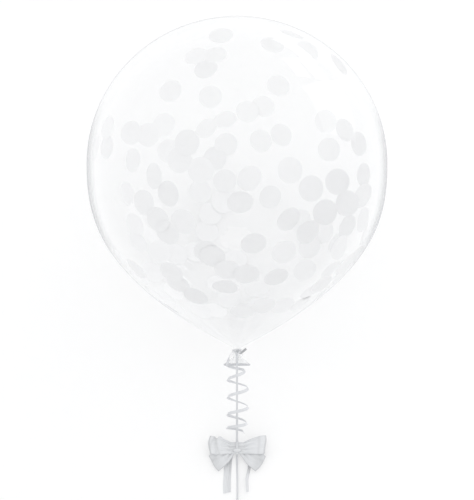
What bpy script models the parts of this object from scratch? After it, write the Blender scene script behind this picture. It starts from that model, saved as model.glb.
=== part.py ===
"""A clear round party balloon with a curled ribbon and a satin bow, lying on its side on a floor.

Metres, +Z up, +Y from the neck towards the crown. The origin is on the floor, under the middle of the
balloon's own box. The balloon is sealed by its knot, so it is one solid.
"""

import math

import bmesh
import bpy
from mathutils import Matrix, Vector

CLEARANCE = 0.0003

# Balloon, measured along its own axis from the widest ring
BALLOON_DIAMETER = 0.300
CROWN_HEIGHT = 0.147
TAPER_LENGTH = 0.185
TAPER_POWER = 2.5
NECK_RADIUS = 0.0040
KNOT_RADIUS = 0.0055
KNOT_LENGTH = 0.0048
TAIL_LENGTH = 0.0065
LIP_WIDTH = 0.0270
LIP_THICKNESS = 0.0080
LIP_BEAD = 0.0010
LYING_TILT = math.radians(27.0)
REST_SPOT_DEPTH = 0.0012

# Ribbon tied round the neck, between the taper and the balloon's own knot
RIBBON_WIDTH = 0.0030
WRAP_THICKNESS = 0.0014
RIBBON_KNOT_WIDTH = 0.0068
RIBBON_KNOT_LENGTH = 0.0040
RIBBON_KNOT_HEIGHT = 0.0040
CURL_DIAMETER = 0.0225

# Bow of wide ribbon, tied with a narrow one and lying on the floor
BOW_Y = -0.2295
LOOP_RIBBON = 0.0190
LOOP_PINCH = 0.0060
LOOP_SHEET = 0.0006
LOOP_DEPTH = 0.0096
LOOP_ROOT_DEPTH = 0.0032
LOOP_ROOT_WALL = 0.0020
LOOP_ROOT = (0.0058, -0.0005)
UPPER_LOOP_LENGTH = 0.0218
UPPER_LOOP_LEAN = math.radians(-1.5)
UPPER_LOOP_RISE = 0.315
UPPER_LOOP_LIFT = 0.0020
LOWER_LOOP_LENGTH = 0.0226
LOWER_LOOP_LEAN = math.radians(-34.0)
LOWER_LOOP_RISE = -0.135
WAIST_RADIUS = 0.0042
WAIST_HALF_LENGTH = 0.0076
WAIST_END_HALF_WIDTH = 0.0050
WAIST_END_HALF_HEIGHT = 0.0024
TIE_BAND_WIDTH = 0.0068
TIE_BAND_THICKNESS = 0.0011
TIE_SHEET = 0.0006
TIE_FLOOR_GAP = 0.0001
TIE_ROOT_WIDTH = 0.0024
TIE_ROOT_OFFSET = 0.0020
TIE_SPREAD_LENGTH = 0.0140
TIE_TAIL_LENGTH = 0.0460
LEFT_TAIL_OFFSET = -0.0092
LEFT_TAIL_WIDTH = 0.0072
RIGHT_TAIL_OFFSET = 0.0102
RIGHT_TAIL_WIDTH = 0.0042

# Spare ribbon, wound on edge into a flat coil that meets the lead at this place, and the coil's tie
COIL_START_Y = -0.3135
COIL_INNER_RADIUS = 0.0118
COIL_OUTER_RADIUS = 0.0212
COIL_TIE_THICKNESS = 0.0004
COIL_TIE_WIDTH = 0.0050
COIL_TIE_ANGLE = math.radians(-60.0)

# Heights and places that follow from the sizes above
NECK_LENGTH = RIBBON_WIDTH + 2 * CLEARANCE
BOW_HEIGHT = WAIST_RADIUS + CLEARANCE + TIE_BAND_THICKNESS
BOW_PLACE = Vector((0.0, BOW_Y, BOW_HEIGHT))
LOOP_REST_HEIGHT = TIE_FLOOR_GAP + TIE_SHEET + CLEARANCE
COIL_CENTRE = Vector((COIL_OUTER_RADIUS, COIL_START_Y, 0.0))

# How finely round shapes are cut into faces
BALLOON_SIDES = 64
CROWN_RINGS = 14
TAPER_RINGS = 18
NECK_RINGS = 6
LOOP_STEPS = 28
ROUND_SIDES = 24

# The ribbon's route in the plane x = 0, as (y, z), from its knot at the neck to the bow
NECK_STRETCH = [(-0.1549, 0.0730), (-0.1572, 0.0723), (-0.1612, 0.0698), (-0.1661, 0.0661)]
CURL_STRETCH = [
    (-0.1664, 0.0659),
    (-0.1709, 0.0636),
    (-0.1757, 0.0600),
    (-0.1800, 0.0556),
    (-0.1838, 0.0506),
    (-0.1872, 0.0453),
    (-0.1905, 0.0399),
    (-0.1939, 0.0346),
    (-0.1976, 0.0294),
    (-0.2017, 0.0245),
    (-0.2062, 0.0200),
    (-0.2142, 0.0135),
]
BOW_STRETCH = [(-0.2145, 0.0133), (-0.2175, 0.0114), (-0.2208, 0.0097), (-0.2241, 0.0084)]
# The ribbon's route from the bow to the coil, as (x, y, z)
LEAD_STRETCH = [
    (0.0, -0.2354, 0.0046),
    (0.0, -0.2398, 0.0031),
    (0.0002, -0.2450, 0.0020),
    (0.0006, -0.2510, 0.0017),
    (0.0011, -0.2590, 0.0016),
    (0.0013, -0.2680, 0.0016),
    (0.0010, -0.2770, 0.0016),
    (0.0003, -0.2860, 0.0017),
    (-0.0006, -0.2950, 0.0019),
    (-0.0014, -0.3040, 0.0022),
    (-0.0018, -0.3130, 0.0022),
]


def clear_scene():
    for thing in list(bpy.data.objects):
        bpy.data.objects.remove(thing)


def finish_material(name, colour, roughness, alpha=1.0):
    """A Principled finish with one colour and roughness."""
    made = bpy.data.materials.new(name)
    made.use_nodes = True
    shader = made.node_tree.nodes["Principled BSDF"]
    shader.inputs["Base Color"].default_value = (*colour, 1.0)
    shader.inputs["Roughness"].default_value = roughness
    shader.inputs["Metallic"].default_value = 0.0
    shader.inputs["Alpha"].default_value = alpha
    made.diffuse_color = (*colour, alpha)
    return made


def add_object(name, data, material):
    """Links an object for a mesh or a curve, with its finish."""
    data.materials.append(material)
    made = bpy.data.objects.new(name, data)
    bpy.context.scene.collection.objects.link(made)
    return made


def mesh_from(name, work):
    """Turns a bmesh into a mesh with outward faces, shaded smooth up to sharp corners."""
    bmesh.ops.recalc_face_normals(work, faces=work.faces)
    data = bpy.data.meshes.new(name)
    work.to_mesh(data)
    work.free()
    data.shade_smooth()
    data.set_sharp_from_angle(angle=math.radians(35.0))
    return data


def add_rings(work, rings, closed=False):
    """Skins a list of rings of points. Open ends are capped; a ring of one point is a pole."""
    rows = [[work.verts.new(point) for point in ring] for ring in rings]
    pairs = list(zip(rows, rows[1:]))
    if closed:
        pairs.append((rows[-1], rows[0]))
    for low, high in pairs:
        count = max(len(low), len(high))
        for i in range(count):
            j = (i + 1) % count
            corners = [low[i % len(low)], low[j % len(low)], high[j % len(high)], high[i % len(high)]]
            work.faces.new(list(dict.fromkeys(corners)))
    if not closed:
        for ends in (rows[0], rows[-1]):
            if len(ends) > 2:
                work.faces.new(ends)


def smooth_curve(points, step):
    """Points about a step apart on a smooth curve through the given ones."""
    points = [Vector(p) for p in points]
    first = points[0] * 2 - points[1]
    last = points[-1] * 2 - points[-2]
    held = [first, *points, last]
    fine = []
    parts = 12
    for a, b, c, d in zip(held, held[1:], held[2:], held[3:]):
        for i in range(parts):
            t = i / parts
            fine.append(
                b
                + (c - a) * (t / 2)
                + (a * 2 - b * 5 + c * 4 - d) * (t * t / 2)
                + (b * 3 - a - c * 3 + d) * (t * t * t / 2)
            )
    fine.append(points[-1])
    along = [0.0]
    for a, b in zip(fine, fine[1:]):
        along.append(along[-1] + (b - a).length)
    count = max(2, round(along[-1] / step))
    spaced = []
    i = 0
    for k in range(count + 1):
        wanted = along[-1] * k / count
        while i < len(fine) - 2 and along[i + 1] < wanted:
            i += 1
        share = (wanted - along[i]) / max(along[i + 1] - along[i], 1e-9)
        spaced.append(fine[i].lerp(fine[i + 1], min(share, 1.0)))
    return spaced


def add_tube(name, route, diameter, step, sides_level, material):
    """A round tube with flat ends along a smooth route."""
    points = smooth_curve(route, step)
    data = bpy.data.curves.new(name, "CURVE")
    data.dimensions = "3D"
    data.bevel_depth = diameter / 2
    data.bevel_resolution = sides_level
    data.use_fill_caps = True
    line = data.splines.new("POLY")
    line.points.add(len(points) - 1)
    for held, point in zip(line.points, points):
        held.co = (*point, 1.0)
    return add_object(name, data, material)


def join_into(target, tools):
    """Joins other objects into the target as one body; they stay as hidden guides."""
    for tool in tools:
        tool.hide_render = True
        tool.display_type = "WIRE"
        join = target.modifiers.new("join_" + tool.name, "BOOLEAN")
        join.operation = "UNION"
        join.solver = "EXACT"
        join.object = tool


def oval_ring(half_width, half_height, station):
    """A ring across the balloon's axis: x is its width, y its height and z the place along the axis."""
    return [
        Vector((half_width * math.cos(a), half_height * math.sin(a), station))
        for a in (2 * math.pi * i / BALLOON_SIDES for i in range(BALLOON_SIDES))
    ]


def balloon_rings():
    """The rings of the balloon from the crown to the lip, along its own axis."""
    radius = BALLOON_DIAMETER / 2
    rings = [[Vector((0, 0, CROWN_HEIGHT))]]
    for k in range(1, CROWN_RINGS + 1):
        turn = math.pi / 2 * k / CROWN_RINGS
        size = radius * math.sin(turn)
        rings.append(oval_ring(size, size, CROWN_HEIGHT * math.cos(turn)))
    swell = math.sqrt(radius**2 - NECK_RADIUS**2)
    for k in range(1, TAPER_RINGS + 1):
        share = math.sin(math.pi / 2 * k / TAPER_RINGS)
        size = math.hypot(swell * (1 - share**TAPER_POWER), NECK_RADIUS)
        rings.append(oval_ring(size, size, -TAPER_LENGTH * share))
    station = -TAPER_LENGTH - NECK_LENGTH
    rings.append(oval_ring(NECK_RADIUS, NECK_RADIUS, station))
    for k in range(1, NECK_RINGS + 1):
        turn = math.pi * k / NECK_RINGS
        size = NECK_RADIUS + (KNOT_RADIUS - NECK_RADIUS) * math.sin(turn)
        rings.append(oval_ring(size, size, station - KNOT_LENGTH * (1 - math.cos(turn)) / 2))
    station -= KNOT_LENGTH
    for k in range(1, NECK_RINGS + 1):
        share = k / NECK_RINGS
        wide = NECK_RADIUS + (LIP_WIDTH / 2 - LIP_BEAD - NECK_RADIUS) * share
        thick = NECK_RADIUS + (LIP_THICKNESS / 2 - LIP_BEAD - NECK_RADIUS) * share
        rings.append(oval_ring(wide, thick, station - TAIL_LENGTH * share))
    station -= TAIL_LENGTH
    for turn in (math.pi / 4, math.pi / 2, math.pi * 3 / 4, math.pi):
        out = LIP_BEAD * math.sin(turn)
        wide = LIP_WIDTH / 2 - LIP_BEAD + out
        thick = LIP_THICKNESS / 2 - LIP_BEAD + out
        rings.append(oval_ring(wide, thick, station - LIP_BEAD * (1 - math.cos(turn))))
    return rings


def balloon_frame(points):
    """The matrix that lays the balloon down: crown along +Y and raised by the tilt, its lowest point just
    under the floor by the rest spot's depth, its box centred on the origin."""
    across = Matrix.Rotation(-math.pi / 2 + LYING_TILT, 4, "X")
    turned = [across @ p for p in points]
    # the cut at the floor takes nothing from the box's ends, which are the crown and the lip
    middle = (min(p.y for p in turned) + max(p.y for p in turned)) / 2
    lift = -min(p.z for p in turned) - REST_SPOT_DEPTH
    return Matrix.Translation((0, -middle, lift)) @ across


def add_balloon(material):
    """The latex envelope with its knot, tail and rolled lip, cut flat where it rests on the floor."""
    rings = balloon_rings()
    frame = balloon_frame([p for ring in rings for p in ring])
    work = bmesh.new()
    add_rings(work, [[frame @ p for p in ring] for ring in rings])
    everything = work.verts[:] + work.edges[:] + work.faces[:]
    bmesh.ops.bisect_plane(
        work, geom=everything, plane_co=(0, 0, 0), plane_no=(0, 0, 1), clear_inner=True
    )
    bmesh.ops.holes_fill(work, edges=[e for e in work.edges if e.is_boundary], sides=0)
    add_object("balloon", mesh_from("balloon", work), material)
    return frame


def turned_ring(inner, outer, low, high, sides):
    """The rings of a band with a square section turned about z."""
    section = [(inner, low), (outer, low), (outer, high), (inner, high)]
    rings = []
    for i in range(sides):
        turn = 2 * math.pi * i / sides
        rings.append([Vector((r * math.cos(turn), r * math.sin(turn), z)) for r, z in section])
    return rings


def add_neck_ribbon(frame, material):
    """The ribbon's turns round the neck, above the balloon's own knot, and the knot tied on top of them."""
    inner = NECK_RADIUS + CLEARANCE
    outer = inner + WRAP_THICKNESS
    middle = -TAPER_LENGTH - NECK_LENGTH / 2
    work = bmesh.new()
    band = turned_ring(inner, outer, middle - RIBBON_WIDTH / 2, middle + RIBBON_WIDTH / 2, ROUND_SIDES)
    add_rings(work, band, closed=True)
    work.transform(frame)
    wrap = add_object("ribbon_knot", mesh_from("ribbon_knot", work), material)
    work = bmesh.new()
    bmesh.ops.create_icosphere(work, subdivisions=2, radius=0.5)
    shape = Matrix.Diagonal((RIBBON_KNOT_WIDTH, RIBBON_KNOT_HEIGHT, RIBBON_KNOT_LENGTH, 1.0))
    place = Matrix.Translation((0, -outer - RIBBON_KNOT_HEIGHT / 4, middle))
    work.transform(frame @ place @ shape)
    lump = add_object("ribbon_knot_lump", mesh_from("ribbon_knot_lump", work), material)
    join_into(wrap, [lump])


def loop_swell(turn, out, sheet):
    """How far a loop's ribbon stands above or below its middle, less the sheet on the inner face."""
    depth = LOOP_ROOT_DEPTH + (LOOP_DEPTH - LOOP_ROOT_DEPTH) * math.sin(math.pi / 2 * out)
    return (depth / 2 - sheet) * math.sin(turn)


def resting_droop():
    """How far a loop's end droops when its underside just comes down to the tie's tails on the floor."""
    room = []
    for k in range(LOOP_STEPS // 2 + 1, LOOP_STEPS):
        turn = 2 * math.pi * k / LOOP_STEPS
        out = (1 - math.cos(turn)) / 2
        room.append((BOW_HEIGHT - LOOP_REST_HEIGHT + loop_swell(turn, out, 0.0)) / out)
    return min(room)


def loop_section(turn, length, rise, lift, inside):
    """Two edge points of a bow loop's ribbon at a turn round the loop, on its outer or inner face.
    u runs out from the waist, v across the ribbon and w up."""
    root_wall = LOOP_ROOT_WALL if inside else 0.0
    sheet = LOOP_SHEET if inside else 0.0
    u = root_wall + (length - root_wall - sheet) * (1 - math.cos(turn)) / 2
    out = u / length
    w = loop_swell(turn, out, sheet) + lift * out
    half = (LOOP_PINCH + (LOOP_RIBBON - LOOP_PINCH) * math.sin(math.pi / 2 * out)) / 2
    return [Vector((u, rise * u - half, w)), Vector((u, rise * u + half, w))]


def add_bow_loop(name, side, length, lean, rise, lift, material):
    """One loop of the bow: a band of ribbon that goes out, turns over and comes back to the waist."""
    rings = []
    for k in range(LOOP_STEPS):
        turn = 2 * math.pi * k / LOOP_STEPS
        left, right = loop_section(turn, length, rise, lift, False)
        inner_left, inner_right = loop_section(turn, length, rise, lift, True)
        rings.append([left, right, inner_right, inner_left])
    work = bmesh.new()
    add_rings(work, rings, closed=True)
    place = Matrix.Translation(BOW_PLACE + Vector((*LOOP_ROOT, 0)))
    work.transform(place @ Matrix.Rotation(lean, 4, "Z"))
    if side < 0:
        work.transform(Matrix.Diagonal((-1, 1, 1, 1)))
    return add_object(name, mesh_from(name, work), material)


def waist_ring(x, half_width, half_height):
    """A ring across the bow's waist."""
    return [
        BOW_PLACE + Vector((x, half_width * math.cos(a), half_height * math.sin(a)))
        for a in (2 * math.pi * i / ROUND_SIDES for i in range(ROUND_SIDES))
    ]


def add_bow_loops(material):
    """Four loops of wide ribbon on one waist, gathered to a round under the tie and flatter at its ends."""
    band_edge = TIE_BAND_WIDTH / 2 + CLEARANCE
    middle = (band_edge + WAIST_HALF_LENGTH) / 2
    part_width = (WAIST_RADIUS + WAIST_END_HALF_WIDTH) / 2
    part_height = (WAIST_RADIUS + WAIST_END_HALF_HEIGHT) / 2
    half = [
        (WAIST_HALF_LENGTH, WAIST_END_HALF_WIDTH, WAIST_END_HALF_HEIGHT),
        (middle, part_width, part_height),
        (band_edge, WAIST_RADIUS, WAIST_RADIUS),
    ]
    sections = half + [(-x, wide, high) for x, wide, high in reversed(half)]
    work = bmesh.new()
    add_rings(work, [waist_ring(*section) for section in sections])
    waist = add_object("bow_loops", mesh_from("bow_loops", work), material)
    loops = []
    for side, word in ((-1, "left"), (1, "right")):
        upper = (UPPER_LOOP_LENGTH, UPPER_LOOP_LEAN, UPPER_LOOP_RISE, UPPER_LOOP_LIFT)
        lower = (LOWER_LOOP_LENGTH, LOWER_LOOP_LEAN, LOWER_LOOP_RISE, -resting_droop())
        loops.append(add_bow_loop("bow_upper_" + word, side, *upper, material))
        loops.append(add_bow_loop("bow_lower_" + word, side, *lower, material))
    join_into(waist, loops)


def add_bow_tail(name, offset, width, material):
    """One end of the narrow tying ribbon, flat on the floor below the bow."""
    steps = 8
    root = math.copysign(TIE_ROOT_OFFSET, offset)
    rings = []
    for k in range(steps + 1):
        run = TIE_TAIL_LENGTH * k / steps
        spread = math.sin(math.pi / 2 * min(run / TIE_SPREAD_LENGTH, 1.0))
        middle = root + (offset - root) * spread
        half = (TIE_ROOT_WIDTH + (width - TIE_ROOT_WIDTH) * spread) / 2
        low = TIE_FLOOR_GAP
        high = TIE_FLOOR_GAP + TIE_SHEET
        corners = [(middle - half, low), (middle + half, low), (middle + half, high), (middle - half, high)]
        rings.append([Vector((x, BOW_Y - run, z)) for x, z in corners])
    work = bmesh.new()
    add_rings(work, rings)
    return add_object(name, mesh_from(name, work), material)


def add_bow_tie(material):
    """The narrow ribbon round the bow's waist, with its two tails."""
    inner = WAIST_RADIUS + CLEARANCE
    outer = inner + TIE_BAND_THICKNESS
    work = bmesh.new()
    # an even number of sides puts a corner of the band at the floor
    band = turned_ring(inner, outer, -TIE_BAND_WIDTH / 2, TIE_BAND_WIDTH / 2, ROUND_SIDES)
    add_rings(work, band, closed=True)
    work.transform(Matrix.Translation(BOW_PLACE) @ Matrix.Rotation(math.pi / 2, 4, "Y"))
    tie = add_object("bow_tie", mesh_from("bow_tie", work), material)
    tails = [
        add_bow_tail("bow_tail_left", LEFT_TAIL_OFFSET, LEFT_TAIL_WIDTH, material),
        add_bow_tail("bow_tail_right", RIGHT_TAIL_OFFSET, RIGHT_TAIL_WIDTH, material),
    ]
    join_into(tie, tails)


def add_coil(material):
    """The spare ribbon wound on edge, just above the floor, because its tie goes under it."""
    low = COIL_TIE_THICKNESS + CLEARANCE
    work = bmesh.new()
    ring = turned_ring(COIL_INNER_RADIUS, COIL_OUTER_RADIUS, low, low + RIBBON_WIDTH, 2 * ROUND_SIDES)
    add_rings(work, ring, closed=True)
    work.transform(Matrix.Translation(COIL_CENTRE))
    add_object("ribbon_coil", mesh_from("ribbon_coil", work), material)


def add_coil_tie(material):
    """A short strip wrapped once round the coil's bundle of turns."""
    gap = CLEARANCE
    sheet = COIL_TIE_THICKNESS
    top = sheet + 2 * gap + RIBBON_WIDTH
    inner = [
        (COIL_INNER_RADIUS - gap, sheet),
        (COIL_OUTER_RADIUS + gap, sheet),
        (COIL_OUTER_RADIUS + gap, top),
        (COIL_INNER_RADIUS - gap, top),
    ]
    outer = [
        (COIL_INNER_RADIUS - gap - sheet, 0.0),
        (COIL_OUTER_RADIUS + gap + sheet, 0.0),
        (COIL_OUTER_RADIUS + gap + sheet, top + sheet),
        (COIL_INNER_RADIUS - gap - sheet, top + sheet),
    ]
    rings = []
    for (inner_r, inner_z), (outer_r, outer_z) in zip(inner, outer):
        ring = []
        for y, r, z in (
            (-COIL_TIE_WIDTH / 2, inner_r, inner_z),
            (COIL_TIE_WIDTH / 2, inner_r, inner_z),
            (COIL_TIE_WIDTH / 2, outer_r, outer_z),
            (-COIL_TIE_WIDTH / 2, outer_r, outer_z),
        ):
            ring.append(Vector((r, y, z)))
        rings.append(ring)
    work = bmesh.new()
    add_rings(work, rings, closed=True)
    work.transform(Matrix.Translation(COIL_CENTRE) @ Matrix.Rotation(COIL_TIE_ANGLE, 4, "Z"))
    add_object("coil_tie", mesh_from("coil_tie", work), material)


def add_ribbon_runs(material):
    """The ribbon's straight runs and the round outline of its curled end, which winds about the run
    between the neck and the bow."""
    in_plane = [[(0.0, y, z) for y, z in stretch] for stretch in (NECK_STRETCH, CURL_STRETCH, BOW_STRETCH)]
    step = 2.5 * RIBBON_WIDTH
    add_tube("ribbon_top", in_plane[0], RIBBON_WIDTH, step, 2, material)
    add_tube("ribbon_curl", in_plane[1], CURL_DIAMETER, CURL_DIAMETER / 5, 4, material)
    add_tube("ribbon_bottom", in_plane[2], RIBBON_WIDTH, step, 2, material)
    add_tube("ribbon_lead", LEAD_STRETCH, RIBBON_WIDTH, step, 2, material)


def main():
    clear_scene()
    latex = finish_material("clear_latex", (0.93, 0.94, 0.95), 0.08, alpha=0.35)
    ribbon = finish_material("silver_ribbon", (0.80, 0.81, 0.83), 0.35)
    satin = finish_material("bow_satin", (0.78, 0.79, 0.81), 0.40)
    frame = add_balloon(latex)
    add_neck_ribbon(frame, ribbon)
    add_ribbon_runs(ribbon)
    add_bow_loops(satin)
    add_bow_tie(satin)
    add_coil(ribbon)
    add_coil_tie(ribbon)


main()
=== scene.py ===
"""A clear party balloon with paper confetti inside, a curled ribbon and a satin bow, lying on a floor.

Metres, +Z up, +Y from the neck towards the crown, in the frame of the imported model.
"""

import math
import random

import bmesh
import bpy
from bpy.props import FloatProperty, FloatVectorProperty, IntProperty, PointerProperty
from mathutils import Matrix, Vector


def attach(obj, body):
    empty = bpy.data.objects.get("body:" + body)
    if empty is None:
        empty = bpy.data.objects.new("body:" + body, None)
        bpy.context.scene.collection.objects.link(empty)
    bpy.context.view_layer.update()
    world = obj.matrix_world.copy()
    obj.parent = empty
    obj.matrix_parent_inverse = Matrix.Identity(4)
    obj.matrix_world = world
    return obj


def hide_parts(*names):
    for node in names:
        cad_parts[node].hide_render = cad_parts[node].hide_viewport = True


bl_info = {
    "name": "Confetti balloon",
    "version": (1, 0, 0),
    "blender": (4, 5, 0),
    "location": "3D View > Sidebar > Balloon",
    "description": "Models a clear confetti balloon with its curled ribbon and satin bow",
    "category": "Add Mesh",
}

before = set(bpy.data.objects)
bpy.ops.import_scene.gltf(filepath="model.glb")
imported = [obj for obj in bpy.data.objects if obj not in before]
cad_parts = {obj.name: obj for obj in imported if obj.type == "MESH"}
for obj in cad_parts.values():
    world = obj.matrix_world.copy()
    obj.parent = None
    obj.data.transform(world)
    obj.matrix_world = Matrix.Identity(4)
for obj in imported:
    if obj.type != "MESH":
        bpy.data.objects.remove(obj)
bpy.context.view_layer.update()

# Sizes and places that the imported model's source gives too
CLEARANCE = 0.0003
BALLOON_RADIUS = 0.150
CROWN_HEIGHT = 0.147
TAPER_LENGTH = 0.185
TAPER_POWER = 2.5
NECK_RADIUS = 0.0040
KNOT_RADIUS = 0.0055
KNOT_LENGTH = 0.0048
TAIL_LENGTH = 0.0065
LIP_WIDTH = 0.0270
LIP_THICKNESS = 0.0080
LIP_BEAD = 0.0010
LYING_TILT = math.radians(27.0)
REST_SPOT_DEPTH = 0.0012
RIBBON_WIDTH = 0.0030
NECK_LENGTH = RIBBON_WIDTH + 2 * CLEARANCE
BOW_PLACE = Vector((0.0, -0.2295, 0.0056))
LOOP_RIBBON = 0.0190
LOOP_ROOT = (0.0058, -0.0005)
TIE_TAIL_LENGTH = 0.0460
TIE_SPREAD_LENGTH = 0.0140
LOOP_REST_HEIGHT = 0.0010
COIL_INNER_RADIUS = 0.0118
COIL_OUTER_RADIUS = 0.0212
COIL_CENTRE = Vector((COIL_OUTER_RADIUS, -0.3135, 0.0))
COIL_TIE_WIDTH = 0.0050
COIL_TIE_THICKNESS = 0.0004
COIL_TIE_ANGLE = math.radians(-60.0)

# Sizes that stand here alone: the bow's gathered waist, how far its upper loops start above its middle and
# the lower ones below it, and how high the middle of the coil's ribbon is over the floor
WAIST_HALF_LENGTH = 0.0086
WAIST_HALF_WIDTH = 0.0062
WAIST_HALF_HEIGHT = 0.0029
LOOP_STAGGER = 0.0006
COIL_START_HEIGHT = 0.0022

# The ribbon's route in the plane x = 0, as (y, z), from its knot at the neck to the bow. It keeps within
# about 2 mm of the source's.
NECK_STRETCH = [(-0.1549, 0.0730), (-0.1572, 0.0723), (-0.1612, 0.0698)]
CURL_STRETCH = [
    (-0.1664, 0.0659), (-0.1709, 0.0636), (-0.1757, 0.0600), (-0.1800, 0.0556), (-0.1838, 0.0506), (-0.1872, 0.0453),
    (-0.1905, 0.0399), (-0.1939, 0.0346), (-0.1976, 0.0294), (-0.2017, 0.0245), (-0.2062, 0.0200),
]
BOW_STRETCH = [(-0.2142, 0.0133), (-0.2175, 0.0106), (-0.2208, 0.0080), (-0.2241, 0.0063)]
# Through the bow, and on along the floor to the coil, as (x, y, z); the ribbon turns on edge on the way
LEAD_STRETCH = [
    (0.0, -0.2295, 0.0054), (0.0, -0.2354, 0.0044), (0.0, -0.2398, 0.0031), (0.0, -0.2450, 0.0019),
    (0.0001, -0.2510, 0.0014), (0.0003, -0.2590, 0.0014), (0.0004, -0.2680, 0.0014), (0.0004, -0.2770, 0.0014),
    (0.0002, -0.2860, 0.0015), (-0.0001, -0.2950, 0.0018), (-0.0003, -0.3040, 0.0021),
]
# How far the ribbon's flat side turns from facing up, in degrees, by y
RIBBON_TWIST = [
    (-0.150, 8.0), (-0.163, 48.0), (-0.185, 54.0), (-0.214, 48.0), (-0.228, 40.0), (-0.244, 50.0),
    (-0.290, 54.0), (-0.306, 78.0), (-0.3135, 90.0),
]
# Where the curl's short end leaves the knot
CURL_START = [(-0.0008, -0.1533, 0.0762), (-0.0036, -0.1548, 0.0765), (-0.0072, -0.1578, 0.0745)]
# The heights in the front view at which the curl reaches furthest to a side, left first, with each reach
CURL_REACHES = [
    (-0.1160, 0.0098), (-0.1220, 0.0078), (-0.1311, 0.0095), (-0.1403, 0.0112), (-0.1492, 0.0092),
    (-0.1601, 0.0112), (-0.1674, 0.0097), (-0.1766, 0.0098), (-0.1812, 0.0102), (-0.1862, 0.0066),
]
# Paper discs against the near wall: across and along the axis in mm, how round they look, and how grey they look,
# which is painted into each disc's colour and is partly painted shade
NEAR_DISCS = [
    (-47, 14, 0.93, 0.55), (-54, -2, 0.95, 0.5), (-34, -12, 0.98, 0.5), (-81, -17, 0.55, 0.6),
    (-66, -34, 0.74, 0.75), (-89, -42, 0.70, 0.45), (-75, -58, 0.85, 0.65), (-66, -70, 0.85, 0.65),
    (-51, -60, 0.88, 0.6), (-29, -89, 0.66, 0.85), (-23, -93, 0.60, 0.8), (16, -82, 0.70, 0.9),
    (-9, -106, 0.62, 0.65), (9, -110, 0.62, 0.95), (38, -114, 0.56, 0.95), (-12, -124, 0.45, 0.9),
    (-40, -132, 0.55, 0.95), (-63, -108, 0.75, 0.75), (-57, -120, 0.65, 0.7), (26, -141, 0.70, 0.65),
    (6, -146, 0.45, 0.6), (12, -20, 0.78, 0.5), (3, -43, 0.74, 0.8), (50, -12, 0.95, 0.5),
    (71, -29, 0.95, 0.65), (99, -22, 0.97, 1.0), (110, -43, 0.95, 0.95), (86, -52, 0.95, 0.9),
    (50, -59, 0.66, 0.85), (68, -70, 0.74, 0.9), (45, -89, 0.80, 0.6),
]
# The same against the far wall; the greys of the lower ones also carry painted shade where the floor is shaded under
# the balloon
FAR_DISCS = [
    (36, -30, 0.90, 0.63), (78, -86, 0.85, 0.73), (100, 20, 0.95, 0.37), (96, 50, 0.90, 0.18),
    (128, 24, 0.60, 0.5), (26, 31, 0.85, 0.28), (48, 37, 0.80, 0.16), (116, -62, 0.90, 0.73),
    (105, -80, 0.80, 0.62), (-79, 47, 0.90, 0.22), (-74, 19, 0.90, 0.33), (-97, 36, 0.95, 0.3),
    (-111, 8, 0.55, 0.5), (-135, 20, 0.60, 0.6), (-134, 40, 0.80, 0.35), (-114, 37, 0.85, 0.36),
    (-117, -28, 0.45, 0.62), (-84, -92, 0.90, 0.56), (-104, -78, 0.50, 0.73), (-40, -24, 0.90, 0.5),
    (-29, -48, 0.90, 0.51), (-32, -67, 0.90, 0.51), (-12, 27, 0.95, 0.34), (-71, 82, 0.80, 0.18),
    (-29, 78, 0.95, 0.15), (-43, 116, 0.60, 0.09), (-23, 118, 0.60, 0.09), (-17, 138, 0.55, 0.09),
    (37, 127, 0.50, 0.15), (44, 88, 0.80, 0.18), (-34, 45, 0.60, 0.1), (-13, 55, 0.55, 0.09),
    (11, 62, 0.55, 0.09), (28, 67, 0.60, 0.09), (75, 122, 0.70, 0.18), (-37, -150, 0.50, 0.73),
    (48, -145, 0.50, 0.73), (-90, -113, 0.75, 0.62), (73, -111, 0.85, 0.62), (-19, -123, 0.70, 0.56),
    (21, -128, 0.60, 0.62), (132, -9, 0.50, 0.58), (-15, -35, 0.80, 0.44), (-65, -92, 0.80, 0.56),
]
# The ribbon's knot at the neck: the widths of its bunched band, its loops and its ends, the step between
# the points of its ends, and the line of the cut end from the knot's middle
NECK_BAND_WIDTH, KNOT_LOOP_WIDTH, KNOT_END_WIDTH = 0.0010, 0.0011, 0.0026
KNOT_STEP = 0.0004
KNOT_STUB = [
    (0.0008, -0.0004, -0.0010), (0.0030, -0.0010, -0.0022), (0.0052, -0.0012, -0.0012), (0.0092, -0.0010, 0.0022),
]
# The steps between points of the long end and of the curl, and how far the curl's flat side leans outwards
LEAD_STEP, CURL_STEP = 0.0022, 0.0011
CURL_LEAN = 0.52
# The width of the tying ribbon's tails where they leave the knot, and how dark a loop's lower layer is
TAIL_ROOT_WIDTH = 0.0024
UNDERSIDE_SHADE = 0.7
# How near two discs' centres are, in radii, when they overlap, lie close, or one hides the other, and the
# room that every disc keeps to the film and the floor
OVERLAPPING, CLOSE, HIDDEN = 1.8, 1.4, 0.9
DISC_GAP = 0.0004
# Where the lights are aimed and how far off they stand, and the place in the balloon at which the view has
# its height
LIGHT_AIM = Vector((0, 0.02, 0.15))
LIGHT_DISTANCE = 2.1
FRAMED_PLACE = Vector((0, 0.0166, 0.1525))
SENSOR_WIDTH = 36.0


def length_setting(name, description, default, low, high):
    """A length that a user would change."""
    return FloatProperty(name=name, description=description, default=default, min=low, max=high, unit="LENGTH")


def colour_setting(name, description, default):
    """A colour that a user would change."""
    return FloatVectorProperty(name=name, description=description, default=default, min=0, max=1, subtype="COLOR")


def light_setting(name, description, default, high):
    """How strong a light is."""
    return FloatProperty(name=name, description=description, default=default, min=0, max=high)


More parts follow.
